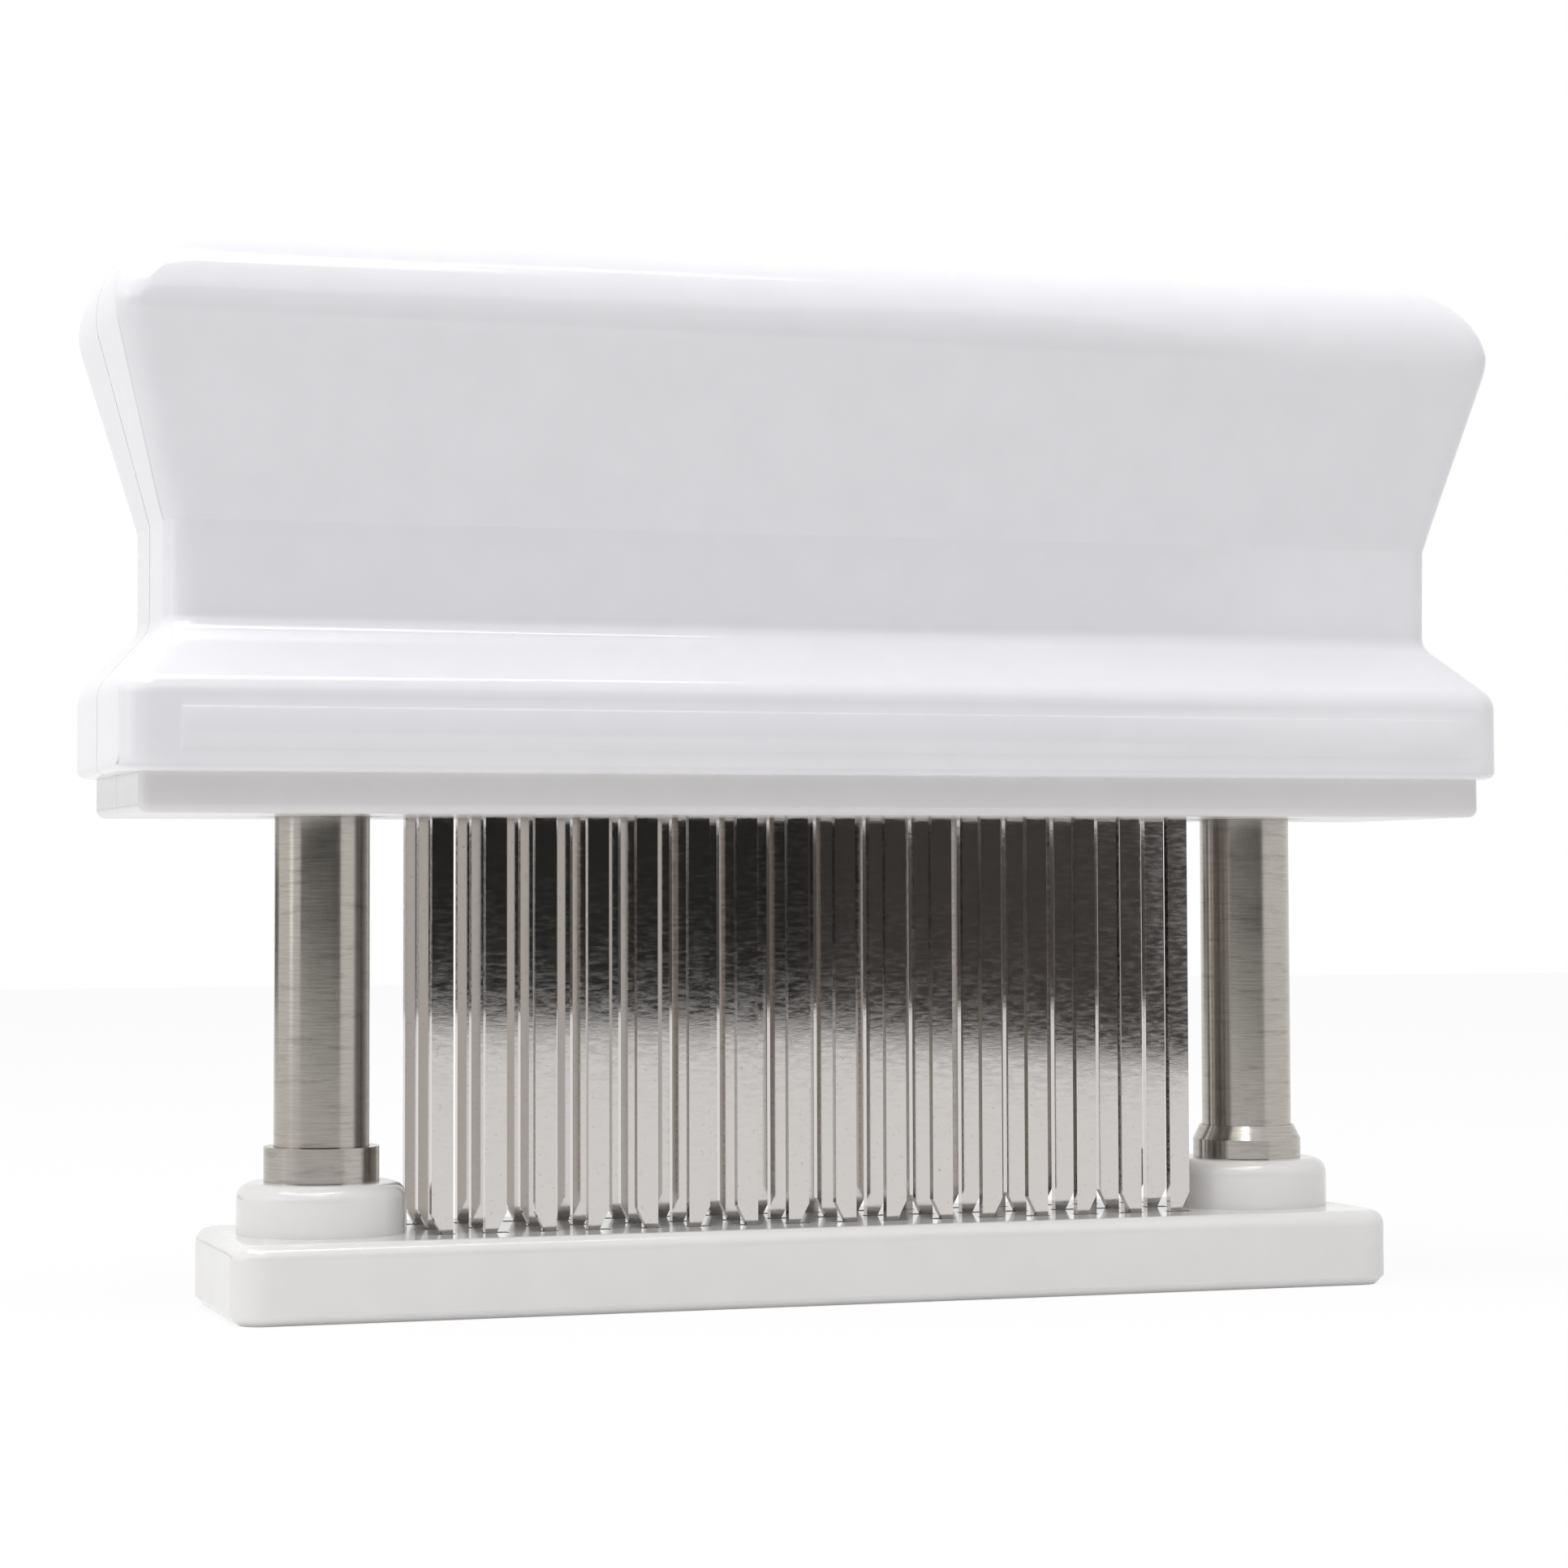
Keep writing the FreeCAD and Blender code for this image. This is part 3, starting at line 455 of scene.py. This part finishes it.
# A closed profile of (radius, height) turned about a level axis along y: a point is the
# centre plus radius times cosine and sine of the turn, with the height along the axis.
# A height may differ round the turn, so an end can follow a slanting wall.
def turnRound(radii, heights, centre, steps):
    angle = np.linspace(0, 2 * math.pi, steps, endpoint=False)[None, :]
    radii = np.asarray(radii, float)[:, None]
    along = np.stack([np.broadcast_to(np.asarray(h, float), (steps,)) for h in heights])
    side, rise = radii * np.cos(angle), radii * np.sin(angle)
    points = np.stack([centre[0] + side, along, centre[1] + rise], 2)
    index = np.arange(points[..., 0].size).reshape(points.shape[:2])
    loop = np.concatenate([index, index[:1]])
    ahead = np.roll(loop, -1, axis=1)
    faces = np.stack([loop[:-1], ahead[:-1], ahead[1:], loop[1:]], 2).reshape(-1, 4)
    return points.reshape(-1, 3), faces


# A cross drawn out along an axis: twelve corners of two crossed bars, at two heights
def crossBar(length, width, low, high, centre, axis):
    a, b = length / 2, width / 2
    outline = np.array([(a, -b), (a, b), (b, b), (b, a), (-b, a), (-b, b), (-a, b), (-a, -b),
                        (-b, -b), (-b, -a), (b, -a), (b, -b)])
    count = len(outline)
    points = np.concatenate([np.column_stack([outline + np.array(centre), np.full(count, h)])
                             for h in (low, high)])
    if axis == "y":
        points = points[:, (0, 2, 1)]
    ring = np.arange(count)
    ahead = (ring + 1) % count
    sides = np.stack([ring, ahead, ahead + count, ring + count], 1)
    return points, [*sides.tolist(), ring[::-1].tolist(), (ring + count).tolist()]


# Several shapes as one: each one's faces count on from the points before
def joined(shapes):
    starts = np.cumsum([0] + [len(points) for points, faces in shapes])
    faces = [[i + start for i in face]
             for (points, made), start in zip(shapes, starts) for face in made]
    return np.concatenate([points for points, made in shapes]), faces


# Straight runs with arcs at the inner corners: an arc's points are its centre plus a radius
# arm that turns evenly from the one tangent point to the other
def roundedPath(corners, radii, steps):
    corners = [np.array(c, float) for c in corners]
    points = [corners[0][None, :]]
    for before, here, after, radius, count in zip(corners, corners[1:], corners[2:], radii, steps):
        back = (before - here) / np.linalg.norm(before - here)
        ahead = (after - here) / np.linalg.norm(after - here)
        half = 0.5 * math.acos(np.clip(back @ ahead, -1, 1))
        centre = here + (back + ahead) / np.linalg.norm(back + ahead) * radius / math.sin(half)
        start = here + back * radius / math.tan(half) - centre
        end = here + ahead * radius / math.tan(half) - centre
        turn = math.pi - 2 * half
        share = np.linspace(0, 1, count + 1)[:, None]
        arm = (start * np.sin((1 - share) * turn) + end * np.sin(share * turn)) / math.sin(turn)
        points.append(centre + arm)
    points.append(corners[-1][None, :])
    return np.concatenate(points)


# Housing: one outline rule for both shells, in millimetres as measured on the outside
shell = {
    "mouthZ": 53.2, "flange": (73.0, 17.0), "shoulderLowZ": 61.8, "shoulderHighZ": 67.6,
    "waist": (67.9, 10.4), "waistTopZ": 77.8, "grip": (75.95, 17.6), "topZ": 107.0,
    "lipRound": 0.8, "shoulderRound": 3.0, "waistRound": 2.5, "creaseRound": 1.5,
    "gripRound": 8.5, "corners": (3.0, 2.4, 2.6, 6.0),  # flange, waist, grip, crown
    "wall": 1.9, "seamHalf": 0.15, "seamDeep": 0.4,
    "panelX": (-67.5, 68.4), "panelZ": (55.2, 59.2), "panelRise": 0.12, "panelEdge": 0.3,
    "panelFade": 1,  # how far below the shoulder the drawing in starts to fade
    "sinks": [(-62.5, 73.5), (62.5, 73.5), (-15.0, 88.0), (15.0, 88.0)],  # x and z at the rear
    "sinkRadius": 3.05, "bossRadius": 4.2, "sinkFloorY": 7.0, "screwHole": 1.7,
    "sinkSlack": 0.05, "wellFloor": 1.0, "cutTo": 20,  # wells: slack of the cut, floor, reach
    "lipWide": 1.4, "innerLipRound": 0.2, "leastCorner": 0.4, "gripBlend": 3,
    "tongueInset": 0.2, "tongueSlack": 0.001,
    "hips": (0.12, 0.35, 0.68, 1.0),  # shares of the way from the crown's rim to the ridge
}
# Points along each run: more where it bends
grid = {
    "arcs": (6, 12, 12, 8, 28), "cornerArc": 13, "end": 8, "face": 61, "well": 32, "cut": 48,
    "evenTo": 98, "even": 12,  # even levels up the grip, to this height
    "levelGap": 0.04, "panelGap": 0.05, "hair": 1e-4,  # mm, least spacings
}


# Height and half size down one side of the housing, from the mouth to the top
def halfSizes(column, inset):
    flange, waist, grip = (shell[k][column] - inset for k in ("flange", "waist", "grip"))
    topZ = shell["topZ"] - inset
    corners = [(flange - shell["lipWide"], shell["mouthZ"]), (flange, shell["mouthZ"]),
               (flange, shell["shoulderLowZ"]), (waist, shell["shoulderHighZ"]),
               (waist, shell["waistTopZ"]), (grip, topZ), (0, topZ)]
    radii = [shell[k] for k in ("shoulderRound", "waistRound", "creaseRound")]
    lip = shell["lipRound"] if inset == 0 else shell["innerLipRound"]
    return roundedPath(corners, [lip, *radii, shell["gripRound"] - inset], grid["arcs"])[1:-1]


# Start, middle and end of the panel's two sloping edges along one axis
def panelMarks(edges):
    return np.array([at + share * shell["panelEdge"] for at in edges for share in (0, 0.5, 1)])


# Heights of the level lines: every arc of both sides, the panel's edges and even steps
def levelHeights():
    rows = np.concatenate([halfSizes(0, 0)[:, 1], halfSizes(1, 0)[:, 1]])
    panel = panelMarks(shell["panelZ"])
    even = np.linspace(shell["waistTopZ"], grid["evenTo"], grid["even"])
    heights = np.unique(np.concatenate([rows, even]))
    heights = heights[np.concatenate([[True], np.diff(heights) > grid["levelGap"]])]
    clear = np.min(np.abs(heights[:, None] - panel[None, :]), axis=1) > grid["panelGap"]
    heights = np.unique(np.concatenate([heights[clear], panel]))
    heights[-1] = shell["topZ"]
    return heights


# Plan radius of the upright corners: blends from flange to waist, then over the crown
def cornerRadius(z):
    crownZ = shell["topZ"] - shell["gripRound"]
    flange, waist, grip, crown = shell["corners"]
    waistZ = shell["waistTopZ"]
    marks = [shell["shoulderLowZ"], waistZ, waistZ + shell["gripBlend"], crownZ, shell["topZ"]]
    return np.interp(z, marks, [flange, waist, grip, grip, crown])


def smoothStep(low, high, value):  # 0 below low, 1 above high, level at both
    t = np.clip((value - low) / (high - low), 0, 1)
    return t * t * (3 - 2 * t)


# One wall face of a half, drawn at positive y. u runs from the left parting edge round the
# face to the right one: a straight end, a quarter arc, the face, and the same back. v runs up
# from the mouth by the side's half sizes, over the crown and in to the ridge.
def shellSkin(inset):
    heights = levelHeights()
    radius = np.maximum(cornerRadius(heights) - inset, shell["leastCorner"])
    crownZ = shell["topZ"] - shell["gripRound"]
    squeeze = (shell["gripRound"] - inset) / shell["gripRound"]
    heights = np.where(heights > crownZ, crownZ + (heights - crownZ) * squeeze, heights)
    longWay, deepWay = halfSizes(0, inset), halfSizes(1, inset)
    halfLong = np.interp(heights, longWay[:, 1], longWay[:, 0])[:, None]
    halfDeep = np.interp(heights, deepWay[:, 1], deepWay[:, 0])[:, None]
    halfLong[0], halfDeep[0] = longWay[0, 0], deepWay[0, 0]
    radius = radius[:, None]
    arc = np.linspace(0, math.pi / 2, grid["cornerArc"])[None, 1:-1]
    sideShare = np.linspace(0, 1, grid["end"])[None, :]
    sideY = shell["seamHalf"] + (halfDeep - radius - shell["seamHalf"]) * sideShare
    left = np.stack([-halfLong + 0 * sideY, sideY], 2)
    leftArc = np.stack([-(halfLong - radius) - radius * np.cos(arc),
                        halfDeep - radius + radius * np.sin(arc)], 2)
    faceX = np.linspace(-1, 1, grid["face"])[None, :] * (halfLong - radius)
    panel = np.clip(panelMarks(shell["panelX"])[None, :], faceX[:, 1:2], faceX[:, -2:-1])
    panel = panel + np.arange(panel.shape[1])[None, :] * grid["hair"]
    faceX = np.sort(np.concatenate([faceX, panel], axis=1), axis=1)
    face = np.stack([faceX, halfDeep + 0 * faceX], 2)
    mirror = np.array([-1, 1])
    rightArc, right = leftArc[:, ::-1] * mirror, left[:, ::-1] * mirror
    outline = np.concatenate([left, leftArc, face, rightArc, right], axis=1)
    upright = np.repeat(heights[:, None, None], outline.shape[1], 1)
    levels = np.concatenate([outline, upright], axis=2)
    top = levels[-1]
    hipX = top[:, 0].max() - top[:, 1].max()
    ridge = np.column_stack([np.clip(top[:, 0], -hipX, hipX),
                             np.full(len(top), shell["seamHalf"]), top[:, 2]])
    share = np.array(shell["hips"])[:, None, None]
    return np.concatenate([levels, top + (ridge - top) * share])


# A long low panel on the flange's front: its rise is the product of four smooth edges, and
# the flange round it is drawn in by that rise, so that nothing stands past the housing
def raisePanel(levels):
    (lowX, highX), (lowZ, highZ), edge = shell["panelX"], shell["panelZ"], shell["panelEdge"]
    x, y, z = levels[..., 0], levels[..., 1], levels[..., 2]
    across = smoothStep(lowX, lowX + edge, x) * (1 - smoothStep(highX, highX + edge, x))
    up = smoothStep(lowZ, lowZ + edge, z) * (1 - smoothStep(highZ, highZ + edge, z))
    flangeShare = 1 - smoothStep(shell["shoulderLowZ"] - shell["panelFade"],
                                 shell["shoulderHighZ"], z)
    drawnIn = shell["panelRise"] * (1 - across * up) * flangeShare
    levels[..., 1] -= drawnIn * y / shell["flange"][1]
    return levels


# A closed shell: outer and inner skin joined along the mouth, both partings and the ridge
def addShell(name, sign):
    outer, inner = shellSkin(0.0), shellSkin(shell["wall"])
    if sign < 0:
        outer = raisePanel(outer)
    rows, columns = outer.shape[:2]
    points = np.concatenate([outer.reshape(-1, 3), inner.reshape(-1, 3)])
    count = rows * columns
    index = np.arange(count).reshape(rows, columns)
    rims = [np.stack([line[:-1], line[:-1] + count, line[1:] + count, line[1:]], axis=1)
            for line in (index[0, ::-1], index[:, 0], index[-1], index[::-1, -1])]
    faces = np.concatenate([gridFaces(rows, columns), gridFaces(rows, columns, count)[:, ::-1],
                            *rims])
    points[:, 1] *= sign
    piece = newPiece(name + "_skin", points, faces, "housing", "shell_plastic")
    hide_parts(name)
    return piece


# Tongue that closes the seam: the end outline drawn in by the seam's depth and by nearly the
# wall, carried from mouth to mouth over the top, as wide as the seam
def addTongue():
    insets = (shell["seamDeep"], shell["wall"] - shell["tongueInset"])
    lines = [halfSizes(0, inset) for inset in insets]
    outer, inner = (np.concatenate([line, line[::-1] * (-1, 1)]) for line in lines)
    half = shell["seamHalf"] - shell["tongueSlack"]
    edges = ((outer, -half), (outer, half), (inner, half), (inner, -half))
    path = np.stack([np.stack([line[:, 0], np.full(len(line), y), line[:, 1]], 1)
                     for line, y in edges], 1)
    index = np.arange(path[..., 0].size).reshape(path.shape[:2])
    ahead = np.roll(index, -1, axis=1)
    faces = np.stack([index[:-1], ahead[:-1], ahead[1:], index[1:]], 2).reshape(-1, 4)
    faces = np.concatenate([faces, index[:1], index[-1:]])
    return newPiece("seam_tongue", path.reshape(-1, 3), faces, "housing", "shell_plastic")


# Wells of the rear screws: each is a tube with a floor, whose end follows the middle of the
# slanting wall; the wall itself is cut open a hair wider than the bore
def addWells(rear):
    wall = halfSizes(1, shell["wall"] / 2)
    angle = np.linspace(0, 2 * math.pi, grid["well"], endpoint=False)
    tubes, cutters = [], []
    hole, bore, boss = (shell[k] for k in ("screwHole", "sinkRadius", "bossRadius"))
    wide, floor, reach = bore + shell["sinkSlack"], shell["sinkFloorY"], shell["cutTo"]
    under = floor - shell["wellFloor"]
    for x, z in shell["sinks"]:
        ends = [np.interp(z + r * np.sin(angle), wall[:, 1], wall[:, 0]) for r in (bore, boss)]
        tubes.append(turnRound([hole, bore, bore, boss, boss, hole],
                               [floor, floor, *ends, under, under], (x, z), grid["well"]))
        cutters.append(turnRound([0, wide, wide, 0], [floor, floor, reach, reach], (x, z),
                                 grid["cut"]))
    cutOut(rear, *joined(cutters))
    return newPiece("screw_wells", *joined(tubes), "housing", "shell_plastic")


front = addShell("front_shell", -1)
rear = addShell("rear_shell", 1)
addTongue()
addWells(rear)
print("shells made, faces:", len(front.data.polygons), len(rear.data.polygons))


# Screws: copies of the CAD ones with a driver's cross sunk into each head, in millimetres
drives = {
    "length": 3.4, "width": 0.9, "deep": 1.1, "past": 1,  # past: how far the cut clears the head
    "shellHeadY": 9.2,  # top of the rear screws' heads
    "plateHeadZ": 0.3, "plateX": 50.5,
}


def addCrossedScrews(name, body, crosses):
    piece = cleanMesh(addObject(name + "_crossed", nodes[name].data.copy()))
    cutOut(piece, *joined(crosses))
    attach(piece, body)
    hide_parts(name)


headY, headZ, deep = drives["shellHeadY"], drives["plateHeadZ"], drives["deep"]
bar = (drives["length"], drives["width"])
addCrossedScrews("shell_screws", "housing", [
    crossBar(*bar, headY - deep, headY + drives["past"], place, "y") for place in shell["sinks"]])
for name, sign in (("plate_screw_left", -1), ("plate_screw_right", 1)):
    addCrossedScrews(name, "base", [
        crossBar(*bar, -drives["past"], headZ + deep, (sign * drives["plateX"], 0), "z")])
print("screws crossed")


# Springs: wound coils in place of the plain sleeves, in millimetres
coil = {"radius": 2.85, "wire": 0.45, "turns": 26, "steps": 24, "sides": 8, "stroke": 32.5}


# A round wire on a helix: the path turns evenly as it climbs from the spring's floor to its
# seat, and each ring of points is spanned by the outward arm and the arm across the wire
def addSpring(name):
    low, high = (np.array(corner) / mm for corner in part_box(name))
    tall = high[2] - low[2]
    share = np.linspace(0, 1, coil["turns"] * coil["steps"] + 1)
    angle = 2 * math.pi * coil["turns"] * share
    out = np.column_stack([np.cos(angle), np.sin(angle), 0 * angle])
    climb = low[2] + coil["wire"] + (tall - 2 * coil["wire"]) * share
    axis = np.column_stack([np.full_like(climb, (low[0] + high[0]) / 2), 0 * climb, climb])
    path = coil["radius"] * out + axis
    ahead = np.gradient(path, axis=0)
    across = np.cross(ahead, out)
    across /= np.linalg.norm(across, axis=1)[:, None]
    ring = np.linspace(0, 2 * math.pi, coil["sides"], endpoint=False)[None, :, None]
    arms = np.cos(ring) * out[:, None] + np.sin(ring) * across[:, None]
    points = path[:, None] + coil["wire"] * arms
    index = np.arange(len(path) * coil["sides"]).reshape(-1, coil["sides"])
    beside = np.roll(index, -1, axis=1)
    faces = np.stack([index[:-1], beside[:-1], beside[1:], index[1:]], 2).reshape(-1, 4).tolist()
    faces += [index[0].tolist(), index[-1].tolist()]
    piece = newPiece(name + "_coil", points.reshape(-1, 3), faces, "base", "spring_steel")
    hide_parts(name)
    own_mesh(piece)


addSpring("spring_left")
addSpring("spring_right")
print("springs wound")
